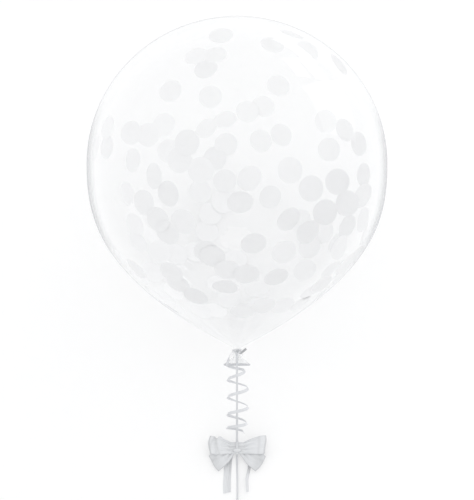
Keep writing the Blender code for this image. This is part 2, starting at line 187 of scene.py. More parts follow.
class FilmSettings(bpy.types.PropertyGroup):
    """The balloon's latex film."""

    sides: IntProperty(name="Sides", description="Faces round the balloon", default=192, min=48, max=256)
    pleats: IntProperty(
        name="Pleats", description="Folds where the film gathers into the neck", default=22, min=6, max=60
    )
    pleat_depth: length_setting("Pleat depth", "How deep the folds at the neck are", 0.0009, 0.0, 0.002)
    tail_sheet: length_setting(
        "Tail film", "Thickness of the slack film between the knot and the lip", 0.0004, 0.0001, 0.001
    )
    haze: FloatProperty(
        name="Haze",
        description="How much the stretched film hides face on",
        default=0.05,
        min=0.0,
        max=1.0,
        subtype="FACTOR",
    )
    gloss_colour: colour_setting("Gloss", "Tint of the film's reflections", (0.96, 0.97, 0.98))
    film_colour: colour_setting("Film", "Colour of the stretched film", (0.51, 0.52, 0.54))
    lip_colour: colour_setting("Lip", "Colour of the thick rolled lip", (0.60, 0.61, 0.63))
    slack_colour: colour_setting(
        "Slack latex", "Milky colour of the unstretched latex at the knot and lip", (0.92, 0.925, 0.93)
    )


class ConfettiSettings(bpy.types.PropertyGroup):
    """The paper discs inside the balloon."""

    disc_radius: length_setting("Disc radius", "Radius of a paper disc", 0.0125, 0.005, 0.02)
    disc_sheet: length_setting("Paper", "Thickness of the paper", 0.00012, 0.00005, 0.0005)
    scattered: IntProperty(
        name="Scattered discs", description="Discs placed at random beside the set ones", default=38, min=0, max=300
    )
    seed: IntProperty(name="Seed", description="Seed for the random places", default=7, min=0, max=999)
    light_colour: colour_setting("Light paper", "Colour of the whitest discs", (0.99, 0.99, 0.99))
    dark_colour: colour_setting("Dark paper", "Colour of the greyest discs", (0.865, 0.865, 0.87))


class RibbonSettings(bpy.types.PropertyGroup):
    """The narrow curling ribbon."""

    sheet: length_setting("Ribbon sheet", "Thickness of the curling ribbon", 0.00025, 0.0001, 0.001)
    coil_turns: IntProperty(
        name="Turns of the coil", description="Turns of the spare ribbon", default=8, min=3, max=9
    )
    colour: colour_setting("Ribbon", "Colour of the curling ribbon", (0.765, 0.775, 0.795))


class BowSettings(bpy.types.PropertyGroup):
    """The satin bow and the ribbon that ties it."""

    sheet: length_setting("Satin sheet", "Thickness of the satin ribbon", 0.0003, 0.0001, 0.001)
    root_width: length_setting("Root width", "Width of a loop where it meets the waist", 0.0125, 0.004, 0.019)
    gather: length_setting("Gather", "Depth of the folds beside the knot", 0.0008, 0.0, 0.003)
    upper_length: length_setting("Upper loops", "Length of each upper loop", 0.0232, 0.01, 0.04)
    lower_length: length_setting("Lower loops", "Length of each lower loop", 0.0245, 0.01, 0.04)
    colour: colour_setting("Satin", "Colour of the satin", (0.785, 0.795, 0.81))


class StageSettings(bpy.types.PropertyGroup):
    """The floor, the lights and the camera."""

    view_height: length_setting("View height", "Height of the view at the balloon", 0.500, 0.3, 1.0)
    view_centre: length_setting("View centre", "Middle of the view, up the front view", -0.002, -0.2, 0.2)
    elevation: FloatProperty(
        name="Elevation",
        description="How far down the camera looks",
        default=math.radians(63.0),
        min=0.0,
        max=1.57,
        subtype="ANGLE",
    )
    lens: FloatProperty(name="Lens", description="Focal length in millimetres", default=150.0, min=35.0, max=300.0)
    surround: light_setting("Surround", "Strength of the light from all round", 1.03, 2.0)
    window: light_setting("Window", "Brightness of the panes of the window light", 1.8, 40.0)
    side_light: light_setting("Side light", "Brightness of the large soft light at the right", 0.55, 40.0)
    floor_colour: colour_setting("Floor", "Colour of the floor", (0.60, 0.60, 0.60))
    floor_glow: light_setting("Floor glow", "How much the light table under the floor shines", 0.388, 1.0)


class Value:
    """A node's output, with Python's operators as Math nodes."""

    def __init__(self, finish, socket):
        self.finish = finish
        self.socket = socket

    def _math(self, operation, first, second):
        return self.finish.node("ShaderNodeMath", {"operation": operation}, {0: first, 1: second})

    def __add__(self, other):
        return self._math("ADD", self, other)

    def __radd__(self, other):
        return self._math("ADD", other, self)

    def __sub__(self, other):
        return self._math("SUBTRACT", self, other)

    def __rsub__(self, other):
        return self._math("SUBTRACT", other, self)

    def __mul__(self, other):
        return self._math("MULTIPLY", self, other)

    def __rmul__(self, other):
        return self._math("MULTIPLY", other, self)

    def __pow__(self, other):
        return self._math("POWER", self, other)

    def __rpow__(self, other):
        return self._math("POWER", other, self)


class Finish:
    """A material in the making. Every node but its last comes from node()."""

    def __init__(self, name):
        self.material = bpy.data.materials.new(name)
        self.material.use_nodes = True
        self.tree = self.material.node_tree
        self.tree.nodes.clear()

    def node(self, kind, settings=None, sockets=None, output=0):
        """Adds a node with its settings, then the values or links of its sockets, and returns an output."""
        made = self.tree.nodes.new(kind)
        for name, value in (settings or {}).items():
            setattr(made, name, value)
        for name, value in (sockets or {}).items():
            if isinstance(value, Value):
                self.tree.links.new(value.socket, made.inputs[name])
            else:
                made.inputs[name].default_value = value
        return Value(self, made.outputs[output])

    def attribute(self, name):
        """A number that the piece's mesh carries at each point."""
        return self.node("ShaderNodeAttribute", {"attribute_name": name}, None, "Fac")

    def uv_map(self, name):
        """A place on the piece's own UV map."""
        return self.node("ShaderNodeUVMap", {"uv_map": name})

    def coordinate(self, place, axis):
        """One coordinate of a place."""
        return self.node("ShaderNodeSeparateXYZ", None, {"Vector": place}, axis)

    def function(self, operation, value):
        """A function of one value, such as its sine."""
        return self.node("ShaderNodeMath", {"operation": operation}, {0: value})

    def noise(self, place, scale, detail, distortion=0.0):
        """Soft random blotches, from 0 to 1."""
        sockets = {"Vector": place, "Scale": scale, "Detail": detail, "Distortion": distortion}
        return self.node("ShaderNodeTexNoise", None, sockets, "Fac")

    def streaks(self, strand, across, along, detail):
        """Noise drawn out along a strand."""
        stretched = self.node("ShaderNodeMapping", None, {"Vector": strand, "Scale": (across, along, 1.0)})
        return self.noise(stretched, 1.0, detail)

    def bump(self, strength, distance, height):
        """A normal that follows a height."""
        return self.node("ShaderNodeBump", None, {"Strength": strength, "Distance": distance, "Height": height})

    def mix_colour(self, share, first, second):
        """A colour between two, by a share from 0 to 1."""
        first = first if isinstance(first, Value) else (*first, 1.0)
        second = second if isinstance(second, Value) else (*second, 1.0)
        sockets = {0: share, 6: first, 7: second}
        return self.node("ShaderNodeMix", {"data_type": "RGBA", "clamp_factor": True}, sockets, 2)

    def ramp(self, share, low, high):
        """0 below low, 1 above high, and smooth between them."""
        sockets = {"Value": share, "From Min": low, "From Max": high}
        return self.node("ShaderNodeMapRange", {"interpolation_type": "SMOOTHSTEP"}, sockets)

    def principled(self, colour, sockets):
        """The usual shader, with its colour and its other sockets."""
        colour = colour if isinstance(colour, Value) else (*colour, 1.0)
        return self.node("ShaderNodeBsdfPrincipled", None, {"Base Color": colour, **sockets})

    def surface(self, shader):
        """Ends the material in a shader."""
        end = self.tree.nodes.new("ShaderNodeOutputMaterial")
        self.tree.links.new(shader.socket, end.inputs["Surface"])
        return self.material


def tint(colour, strength):
    """A colour made lighter or darker."""
    return [strength * c for c in colour]


def film_finish(settings):
    """Clear latex: a glossy see-through film that mirrors more at a slant, with a fine grey line at the rim,
    a faint haze, and milky where it is slack and thick."""
    made = Finish("clear latex film")
    slack = made.attribute("slack")
    strand = made.uv_map("film")
    station = made.coordinate(strand, "Y")
    cloud = made.noise(made.node("ShaderNodeTexCoord", output="Object"), 11.0, 2.0)
    streaks = made.streaks(strand, 90.0, 9.0, 3.0)
    edge = made.node("ShaderNodeLayerWeight", None, {"Blend": 0.5}, "Facing")
    bump = made.bump(0.35, 0.0004, streaks * made.ramp(slack, 0.02, 0.3))
    gloss = made.principled(settings.gloss_colour, {"Metallic": 1.0, "Roughness": 0.03, "Normal": bump})
    latex = made.mix_colour(made.ramp(slack, 0.0, 0.10), settings.film_colour, settings.slack_colour)
    latex = made.mix_colour(made.ramp(slack, 0.86, 0.98), latex, settings.lip_colour)
    roughness = 0.5 - 0.2 * made.ramp(slack, 0.1, 0.9)
    body = made.principled(latex, {"Roughness": roughness, "IOR": 1.52, "Normal": bump})
    clear = made.node("ShaderNodeBsdfTransparent", None, {"Color": (1.0, 1.0, 1.0, 1.0)})
    sheet = made.node("ShaderNodeMixShader", None, {0: 0.06 + 0.30 * edge**4.0, 1: clear, 2: gloss})
    low = 1.0 - made.ramp(station, -0.10, 0.05)
    haze = settings.haze * (0.35 + 0.7 * cloud + 0.8 * low) * (1.0 - 0.85 * made.ramp(edge, 0.38, 0.68))
    haze = haze * (0.2 + 0.8 * made.ramp(station, -0.196, -0.188))
    belt = made.ramp(station, -0.12, -0.05) * (1.0 - made.ramp(station, 0.01, 0.07))
    line = 0.12 + 0.10 * made.ramp(station, -0.12, 0.03)
    rim = 0.34 * belt * made.ramp(edge, 0.66, 0.88) + line * made.ramp(edge, 0.84, 0.94)
    milk = slack * (0.8 + 0.4 * streaks)
    closed = 1.0 - (1.0 - haze) * (1.0 - milk) * (1.0 - rim)
    return made.surface(made.node("ShaderNodeMixShader", None, {0: closed, 1: sheet, 2: body}))


def paper_finish(settings):
    """White tissue paper with faint fibres: each disc is painted its own grey from the attribute 'shade', partly
    random tone and partly painted shade, as each disc looks lit or shaded.
    """
    made = Finish("confetti paper")
    place = made.node("ShaderNodeTexCoord", output="Object")
    fibres = made.noise(place, 700.0, 4.0, 1.2)
    cloud = made.noise(place, 160.0, 2.0)
    tone = made.attribute("shade") + 0.22 * (fibres - 0.5) + 0.25 * (cloud - 0.5)
    colour = made.mix_colour(tone, settings.light_colour, settings.dark_colour)
    bump = made.bump(0.25, 0.0002, fibres)
    return made.surface(made.principled(colour, {"Roughness": 0.82 + 0.14 * cloud, "IOR": 1.45, "Normal": bump}))


def ribbon_finish(settings):
    """Crimped curling ribbon: fine ribs along its length, a soft metallic lustre, darker edges, painted shade in the
    ribs' grooves, and painted shade on the far part of the knot's cut end.
    """
    made = Finish("silver curling ribbon")
    strand = made.uv_map("along")
    across = made.coordinate(strand, "X")
    ribs = made.function("SINE", across * (2 * math.pi * 7.0))
    streaks = made.streaks(strand, 9.0, 0.6, 2.0)
    edge = made.ramp(made.function("ABSOLUTE", across - 0.5), 0.36, 0.5)
    # Painted shade: the colour is darker in the grooves between the ribs; it is also darker towards the edges and in
    # random streaks
    dark = 0.30 * (0.5 - 0.5 * ribs) + 0.35 * edge + 0.25 * streaks
    face = made.mix_colour(dark, tint(settings.colour, 1.12), tint(settings.colour, 0.80))
    # Painted shade: this attribute darkens the far part of the knot's cut end, as if it lay in shade
    painted_stub_shade = made.attribute("stub_shade") * (0.85 + 0.3 * streaks)
    colour = made.mix_colour(painted_stub_shade, face, tint(settings.colour, 0.58))
    bump = made.bump(0.6, 0.0001, ribs)
    sockets = {"Metallic": 0.25, "Roughness": 0.30 + 0.18 * streaks, "Normal": bump}
    return made.surface(made.principled(colour, sockets))


def satin_finish(settings):
    """Satin ribbon: long floats that shine in streaks, a fine weft, a firm selvedge and a soft sheen. The streaks
    vary the roughness and are also painted into the colour as painted sheen, and the attribute 'fold' paints shade
    into folds, undersides and edges.
    """
    made = Finish("bow satin")
    strand = made.uv_map("along")
    across = made.coordinate(strand, "X")
    floats = made.function("SINE", across * (2 * math.pi * 42.0))
    weft = made.function("SINE", made.coordinate(strand, "Y") * (2 * math.pi * 55.0))
    streaks = made.streaks(strand, 26.0, 1.6, 3.0)
    selvedge = made.ramp(made.function("ABSOLUTE", across - 0.5), 0.455, 0.475)
    fold = made.attribute("fold")
    # Painted sheen and painted shade: the streaks lighten and darken the colour, and 'fold' darkens it where shade
    # falls in folds, under the loops and round the knot
    dark = 0.35 * streaks + 0.20 * made.noise(strand, 2.2, 2.0) + 0.25 * selvedge + 0.70 * fold
    sockets = {
        "Roughness": 0.36 + 0.16 * streaks + 0.12 * selvedge,
        "Sheen Weight": 0.35,
        "Sheen Roughness": 0.35,
        "Normal": made.bump(0.35, 0.00012, 0.5 * floats + 0.3 * weft + 0.8 * selvedge),
    }
    colour = made.mix_colour(dark, tint(settings.colour, 1.08), tint(settings.colour, 0.76))
    return made.surface(made.principled(colour, sockets))


def floor_finish(settings):
    """A plain pale floor."""
    made = Finish("pale floor")
    sockets = {
        "Roughness": 0.9,
        "Specular IOR Level": 0.1,
        "Emission Color": (1.0, 1.0, 1.0, 1.0),
        "Emission Strength": settings.floor_glow,
    }
    return made.surface(made.principled(settings.floor_colour, sockets))


def deselect_all():
    """Leaves edit mode and selects nothing."""
    if bpy.context.object and bpy.context.object.mode != "OBJECT":
        bpy.ops.object.mode_set(mode="OBJECT")
    bpy.ops.object.select_all(action="DESELECT")


def select_only(*pieces):
    """Selects these objects alone, the first one active."""
    deselect_all()
    for piece in pieces:
        piece.select_set(True)
    bpy.context.view_layer.objects.active = pieces[0]


def thicken(piece, thickness, sharp):
    """Gives a flat piece its thickness, and smooth faces up to an angle in degrees."""
    wall = piece.modifiers.new("sheet", "SOLIDIFY")
    wall.thickness = thickness
    wall.offset = 0.0
    select_only(piece)
    bpy.ops.object.modifier_apply(modifier=wall.name)
    smooth(piece, sharp)


def smooth(piece, sharp):
    """Shades a piece smooth up to an angle in degrees."""
    piece.data.shade_smooth()
    piece.data.set_sharp_from_angle(angle=math.radians(sharp))


def join_all(pieces, name):
    """Joins objects into the first one."""
    select_only(*pieces)
    bpy.ops.object.join()
    pieces[0].name = pieces[0].data.name = name
    return pieces[0]


def add_numbers(data, name, values):
    """Stores a number at each point of a mesh."""
    data.attributes.new(name, "FLOAT", "POINT").data.foreach_set("value", values)


def dress(piece, finish):
    """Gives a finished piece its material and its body."""
    piece.data.materials.clear()
    piece.data.materials.append(finish)
    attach(piece, "root")


def part_way(value, low, high):
    """How far a value is from low to high, from 0 to 1."""
    return max(0.0, min(1.0, (value - low) / (high - low)))


def eased(share):
    """A share that starts and ends gently."""
    return share * share * (3 - 2 * share)


def hump(value, middle, width):
    """A smooth hump, 1 at its middle."""
    return math.exp(-(((value - middle) / width) ** 2))


def rounded(share):
    """A share that rises fast and levels off, as a quarter of a circle does."""
    return math.sin(math.pi / 2 * share)


def smooth_line(points, step):
    """Points about a step apart on a smooth curve through the given ones."""
    points = [Vector(p) for p in points]
    held = [points[0] * 2 - points[1], *points, points[-1] * 2 - points[-2]]
    fine = []
    for a, b, c, d in zip(held, held[1:], held[2:], held[3:]):
        for i in range(12):
            t = i / 12
            second, third = a * 2 - b * 5 + c * 4 - d, b * 3 - a - c * 3 + d
            fine.append(b + (c - a) * (t / 2) + second * (t * t / 2) + third * (t * t * t / 2))
    fine.append(points[-1])
    along = [0.0]
    for a, b in zip(fine, fine[1:]):
        along.append(along[-1] + (b - a).length)
    count = max(2, round(along[-1] / step))
    spaced = []
    i = 0
    for k in range(count + 1):
        wanted = along[-1] * k / count
        while i < len(fine) - 2 and along[i + 1] < wanted:
            i += 1
        share = (wanted - along[i]) / max(along[i + 1] - along[i], 1e-9)
        spaced.append(fine[i].lerp(fine[i + 1], min(share, 1.0)))
    return spaced


def line_length(points):
    """The length of a line of points."""
    return sum((b - a).length for a, b in zip(points, points[1:]))


def heading(points, i):
    """The direction of a line of points at one of them."""
    return (points[min(i + 1, len(points) - 1)] - points[max(i - 1, 0)]).normalized()


def between(table, place):
    """A smooth value from a table of (place, value) rows, whose places fall from the first row on."""
    if place >= table[0][0]:
        return table[0][1]
    for (a, low), (b, high) in zip(table, table[1:]):
        if place >= b:
            return low + (high - low) * eased((place - a) / (b - a))
    return table[-1][1]


def ribbon_strip(name, centres, acrosses, width, sheet):
    """A flat ribbon along a line of points, with the direction of its width at each, or one for them all. It
    carries the UV map 'along': 0 to 1 across its width, and its length in widths."""
    if isinstance(acrosses, Vector):
        acrosses = [acrosses] * len(centres)
    section = [(-0.5, -0.5), (0.0, -0.62), (0.5, -0.5), (0.5, 0.5), (0.0, 0.62), (-0.5, 0.5)]
    work = bmesh.new()
    layer = work.loops.layers.uv.new("along")
    rows = []
    runs = [0.0]
    for a, b in zip(centres, centres[1:]):
        runs.append(runs[-1] + (b - a).length / width)
    for i, (centre, across) in enumerate(zip(centres, acrosses)):
        run = heading(centres, i)
        across = (across - run * across.dot(run)).normalized()
        up = across.cross(run).normalized()
        rows.append([work.verts.new(centre + across * (a * width) + up * (b * sheet)) for a, b in section])
    count = len(section)
    for k, (low, high) in enumerate(zip(rows, rows[1:])):
        for i in range(count):
            j = (i + 1) % count
            face = work.faces.new((low[i], low[j], high[j], high[i]))
            face.smooth = True
            for loop, (s, row) in zip(face.loops, ((i, k), (j, k), (j, k + 1), (i, k + 1))):
                loop[layer].uv = (section[s][0] + 0.5, runs[row])
    for row in (rows[0], rows[-1]):
        face = work.faces.new(row)
        for loop, (a, b) in zip(face.loops, section):
            loop[layer].uv = (a + 0.5, b)
    bmesh.ops.recalc_face_normals(work, faces=work.faces)
    data = bpy.data.meshes.new(name)
    work.to_mesh(data)
    work.free()
    made = bpy.data.objects.new(name, data)
    bpy.context.scene.collection.objects.link(made)
    select_only(made)
    bpy.ops.object.shade_smooth_by_angle(angle=math.radians(50))
    return made


def sheet_grid(name, across_steps, along_steps, shape, thickness, fold):
    """A grid primitive whose points are moved by a shape of (across 0 to 1, along 0 to 1), given a thickness, the UV
    map 'along' and the attribute 'fold', which holds painted shade: how dark a point is painted for the shade in
    folds, under layers and at edges."""
    deselect_all()
    bpy.ops.mesh.primitive_grid_add(x_subdivisions=across_steps, y_subdivisions=along_steps, size=1.0)
    made = bpy.context.object
    made.name = made.data.name = name
    places = [(vert.co.x + 0.5, vert.co.y + 0.5) for vert in made.data.vertices]
    for vert, (across, along) in zip(made.data.vertices, places):
        vert.co = shape(across, along)
    run = line_length([shape(0.5, k / 40) for k in range(41)])
    breadth = line_length([shape(k / 20, 0.5) for k in range(21)])
    layer = made.data.uv_layers[0]
    layer.name = "along"
    for loop, held in zip(made.data.loops, layer.data):
        across, along = places[loop.vertex_index]
        held.uv = (across, along * run / max(breadth, 1e-4))
    add_numbers(made.data, "fold", [fold(across, along) for across, along in places])
    made.data.update()
    thicken(made, thickness, 50)
    return made


def wall_radius(station):
    """The balloon's radius at a place along its axis, measured from the widest ring towards the crown."""
    if station >= 0:
        return BALLOON_RADIUS * math.sqrt(max(0.0, 1 - (station / CROWN_HEIGHT) ** 2))
    share = min(1.0, -station / TAPER_LENGTH)
    swell = math.sqrt(BALLOON_RADIUS**2 - NECK_RADIUS**2)
    return math.hypot(swell * (1 - share**TAPER_POWER), NECK_RADIUS)


def film_profile(sheet=0.0):
    """Rows of (radius, station, flattening, slackness) from the crown, along the wall, over the knot and the
    lip, and back up inside the tail, whose film has a thickness."""
    rows = [(0.0, CROWN_HEIGHT, 1.0, 0.10)]
    for k in range(1, 41):
        turn = math.pi / 2 * k / 40
        radius = BALLOON_RADIUS * math.sin(turn)
        rows.append((radius, CROWN_HEIGHT * math.cos(turn), 1.0, 0.10 * hump(radius, 0.0, 0.011)))
    for k in range(1, 61):
        share = math.sin(math.pi / 2 * k / 60)
        station = -TAPER_LENGTH * share
        near = max(0.0, (share - 0.62) / 0.38)
        rows.append((wall_radius(station), station, 1.0, 0.015 * near + 0.09 * near**4))
    knot = -TAPER_LENGTH - NECK_LENGTH
    tail = knot - KNOT_LENGTH
    lip = tail - TAIL_LENGTH
    rows.append((NECK_RADIUS, knot, 1.0, 0.12))
    for k in range(1, 11):
        turn = math.pi * k / 10
        radius = NECK_RADIUS + (KNOT_RADIUS - NECK_RADIUS) * math.sin(turn)
        rows.append((radius, knot - KNOT_LENGTH * (1 - math.cos(turn)) / 2, 1.0, 0.28))
    wide_end = LIP_WIDTH / 2 - LIP_BEAD
    thick_end = LIP_THICKNESS / 2 - LIP_BEAD

    def tail_row(share, inset):
        wide = NECK_RADIUS + (wide_end - NECK_RADIUS) * share**0.85 - inset
        thick = NECK_RADIUS + (thick_end - NECK_RADIUS) * share - inset
        return wide, tail - TAIL_LENGTH * share, thick / wide, 0.15

    rows += [tail_row(k / 8, 0.0) for k in range(1, 9)]
    for k in range(1, 9):
        turn = math.pi * k / 8
        bead = LIP_BEAD * math.sin(turn)
        wide = wide_end + bead
        rows.append((wide, lip - LIP_BEAD * (1 - math.cos(turn)), (thick_end + bead) / wide, 1.0))
    rows += [tail_row(k / 8, sheet) for k in range(8, 0, -1)]
    rows.append((0.0, tail - 0.0004, 1.0, 0.1))
    return rows


def balloon_matrix():
    """Lays the balloon down, from its own frame with its crown along z and its upper side along -y: crown
    along +Y and raised by the tilt, its lowest point just under the floor by the rest spot's depth, its box
    centred on the origin."""
    across = Matrix.Rotation(-math.pi / 2 + LYING_TILT, 4, "X")
    turned = [
        across @ Vector((radius * math.cos(turn), radius * flat * math.sin(turn), station))
        for radius, station, flat, _ in film_profile()
        for turn in (math.pi * i / 32 for i in range(64))
    ]
    middle = (min(p.y for p in turned) + max(p.y for p in turned)) / 2
    lift = -min(p.z for p in turned) - REST_SPOT_DEPTH
    return Matrix.Translation((0, -middle, lift)) @ across


def view_directions(rise):
    """The directions towards a camera that looks down by an angle, and up its picture."""
    return Vector((0, -math.cos(rise), math.sin(rise))), Vector((0, math.sin(rise), math.cos(rise)))


def spin_profile(name, profile, sides):
    """Merges a plane to one point, extrudes it along a profile of (radius, station) and spins that round z."""
    deselect_all()
    bpy.ops.mesh.primitive_plane_add(size=0.01, location=(0, 0, 0))
    made = bpy.context.object
    made.name = made.data.name = name
    bpy.ops.object.mode_set(mode="EDIT")
    bpy.ops.mesh.select_mode(type="VERT")
    bpy.ops.mesh.select_all(action="SELECT")
    bpy.ops.mesh.merge(type="CENTER")
    bpy.ops.transform.translate(value=(profile[0][0], 0, profile[0][1]))
    for here, there in zip(profile, profile[1:]):
        step = (there[0] - here[0], 0, there[1] - here[1])
        bpy.ops.mesh.extrude_vertices_move(TRANSFORM_OT_translate={"value": step})
    bpy.ops.mesh.select_all(action="SELECT")
    bpy.ops.mesh.spin(steps=sides, angle=2 * math.pi, center=(0, 0, 0), axis=(0, 0, 1))
    bpy.ops.mesh.select_all(action="SELECT")
    bpy.ops.mesh.remove_doubles(threshold=1e-6)
    bpy.ops.mesh.normals_make_consistent(inside=False)
    bpy.ops.object.mode_set(mode="OBJECT")
    return made


class BALLOON_OT_film(bpy.types.Operator):
    """Spins the clear film from crown to lip, gathers it into the neck and lays it down"""

    bl_idname = "balloon.film"
    bl_label = "Balloon film"
    bl_options = {"REGISTER", "UNDO"}

    def execute(self, context):
        settings = context.scene.balloon_film
        rows = film_profile(settings.tail_sheet)
        made = spin_profile("balloon_film", [row[:2] for row in rows], settings.sides)
        by_station = {}
        for radius, station, flat, loose in rows:
            by_station.setdefault(round(station, 6), []).append((radius, flat, loose))
        turns = []
        slack = []
        for vert in made.data.vertices:
            radius = math.hypot(vert.co.x, vert.co.y)
            turn = math.atan2(vert.co.y, vert.co.x)
            turns.append((turn / (2 * math.pi)) % 1.0)
            ring = by_station[min(by_station, key=lambda s: abs(s - vert.co.z))]
            _, flat, loose = min(ring, key=lambda row: abs(row[0] - radius))
            slack.append(loose)
            fold = self.pleat(settings, vert.co.z, turn)
            if radius > 1e-6:
                vert.co.x *= 1 + fold / radius
                vert.co.y *= (1 + fold / radius) * flat
        add_numbers(made.data, "slack", slack)
        layer = made.data.uv_layers.new(name="film")
        for face in made.data.polygons:
            shares = [turns[made.data.loops[i].vertex_index] for i in face.loop_indices]
            wraps = max(shares) - min(shares) > 0.5
            for i, share in zip(face.loop_indices, shares):
                station = made.data.vertices[made.data.loops[i].vertex_index].co.z
                layer.data[i].uv = (share + 1.0 if wraps and share < 0.5 else share, station)
        made.data.transform(balloon_matrix())
        for vert in made.data.vertices:
            vert.co.z = max(vert.co.z, 0.0)
        made.data.update()
        made.data.shade_smooth()
        dress(made, film_finish(settings))
        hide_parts("balloon")
        return {"FINISHED"}

    @staticmethod
    def pleat(settings, station, turn):
        """How far a fold of the gathered film stands out at a place."""
        if not -TAPER_LENGTH < station < -0.118:
            return 0.0
        share = (station + TAPER_LENGTH) / (TAPER_LENGTH - 0.118)
        swell = rounded(min(1.0, share / 0.42)) ** 2 * (1 - share) ** 3 * 2.6
        wander = 1.2 * math.sin(3 * turn + 1.0) + 0.7 * math.sin(5 * turn)
        return settings.pleat_depth * swell * math.cos(settings.pleats * turn + wander)


class BALLOON_OT_confetti(bpy.types.Operator):
    """Models one paper disc and lays copies of it against the inside of the film"""

    bl_idname = "balloon.confetti"
    bl_label = "Confetti"
    bl_options = {"REGISTER", "UNDO"}

    def execute(self, context):
        settings = context.scene.balloon_confetti
        size = settings.disc_radius
        chance = random.Random(settings.seed)
        place = balloon_matrix()
        disc = self.paper_disc(settings)
        wanted = [(row, -1) for row in NEAR_DISCS] + [(row, 1) for row in FAR_DISCS]
        spots = [self.wall_point(row[0] / 1000, row[1] / 1000, side) for row, side in wanted]
        laid = []
        discs = []
        for ((_, _, look, dark), side), spot in zip(wanted, spots):
            wall = self.wall_normal(*spot)
            facing = wall
            flat = Vector((wall.x, 0, wall.z))
            if flat.length > 0.05:
                leant = flat.normalized() * math.sqrt(1 - look * look) + Vector((0, side * look, 0))
                facing = wall.lerp(leant, 0.8).normalized()
            if any(0 < (other - spot).length < OVERLAPPING * size for other in spots):
                facing = wall.lerp(facing, 0.12).normalized()
            discs.append(self.lay(size, disc, place, laid, chance, spot, wall, facing, dark))
        while len(discs) < len(wanted) + settings.scattered:
            station = 0.135 - 0.292 * chance.random() ** 0.75
            turn = chance.uniform(0, 2 * math.pi)
            radius = wall_radius(station)
            x, depth = radius * math.cos(turn), radius * math.sin(turn)
            weight = 0.25 + 0.75 * part_way(station, 0.10, -0.06)
            weight *= radius / BALLOON_RADIUS * (0.65 + 0.35 * depth / radius)
            if abs(x) < 0.78 * radius and (depth < 0 or station > -0.03):
                weight *= 0.06
            point = Vector((x, depth, station))
            if (place @ point).z < 0.03:
                weight *= 0.3
            if x < -0.112 and -0.095 < station < 0.01 or x > 0.128 and station < 0.05:
                continue
            if chance.random() > weight or radius < 0.03:
                continue
            near = min((other - point).length for other in laid)
            if near < HIDDEN * size or near < CLOSE * size and chance.random() > 0.12:
                continue
            wall = self.wall_normal(x, depth, station)
            tilt = 0.05 if near < OVERLAPPING * size else chance.choice((0.08, 0.08, 0.3))
            facing = wall + Vector([chance.uniform(-1, 1) for _ in range(3)]) * tilt
            # Painted shade: scattered discs get a random grey, painted greyer towards the neck end, where the floor
            # under the balloon is shaded
            dark = chance.uniform(0.15, 0.5) + 0.3 * part_way(station, 0.05, -0.04)
            discs.append(self.lay(size, disc, place, laid, chance, point, wall, facing.normalized(), dark))
        bpy.data.objects.remove(disc)
        made = join_all(discs, "confetti")
        dress(made, paper_finish(settings))
        return {"FINISHED"}

    @staticmethod
    def paper_disc(settings):
        """One flat disc with a ring of faces that lets it bend, and a thin edge."""
        deselect_all()
        bpy.ops.mesh.primitive_circle_add(vertices=20, radius=settings.disc_radius, fill_type="NGON")
        made = bpy.context.object
        bpy.ops.object.mode_set(mode="EDIT")
        bpy.ops.mesh.select_all(action="SELECT")
        bpy.ops.mesh.inset(thickness=settings.disc_radius * 0.45)
        bpy.ops.mesh.poke()
        bpy.ops.object.mode_set(mode="OBJECT")
        thicken(made, settings.disc_sheet, 40)
        return made

    @staticmethod
    def wall_point(x, station, side):
        """The point of the wall at a place of the front view, on the near side (-1) or the far side (1)."""
        radius = wall_radius(station)
        x = max(-radius * 0.93, min(radius * 0.93, x))
        return Vector((x, side * math.sqrt(radius**2 - x**2), station))

    @staticmethod
    def wall_normal(x, depth, station):
        """The wall's outward direction at a point of it."""
        step = 0.0005
        slope = (wall_radius(station + step) - wall_radius(station - step)) / (2 * step)
        radius = max(math.hypot(x, depth), 1e-6)
        return Vector((x / radius, depth / radius, -slope)).normalized()

    @staticmethod
    def lay(size, disc, place, laid, chance, point, wall, facing, dark):
        """Copies the disc to a point of the wall, bends it a little and keeps it inside the film."""
        layer = sum(1 for other in laid if (other - point).length < 1.75 * size)
        laid.append(point.copy())
        lean = math.sqrt(max(0.0, 1 - min(1.0, facing.dot(wall)) ** 2))
        inward = 0.0007 + 0.00045 * min(layer, 6) + 0.6 * size * lean
        data = disc.data.copy()
        bend = chance.uniform(-0.9, 2.2) * (0.3 if layer else 1.0)
        axis = Matrix.Rotation(chance.uniform(0, math.pi), 3, "Z")
        for vert in data.vertices:
            vert.co.z -= 0.0006 * bend * ((axis @ vert.co).x / size) ** 2
        add_numbers(data, "shade", [dark + chance.uniform(-0.08, 0.08)] * len(data.vertices))
        spin = Matrix.Rotation(chance.uniform(0, math.pi), 4, "Z")
        stand = facing.to_track_quat("Z", "Y").to_matrix().to_4x4()
        data.transform(Matrix.Translation(point - wall * inward) @ stand @ spin)
        for _ in range(3):
            out = max(math.hypot(v.co.x, v.co.y) - wall_radius(v.co.z) for v in data.vertices)
            if out > -DISC_GAP:
                data.transform(Matrix.Translation(wall * -(out + 0.0005)))
        data.transform(place)
        low = min(vert.co.z for vert in data.vertices)
        if low < DISC_GAP:
            data.transform(Matrix.Translation((0, 0, DISC_GAP - low)))
        made = bpy.data.objects.new("disc", data)
        bpy.context.scene.collection.objects.link(made)
        return made


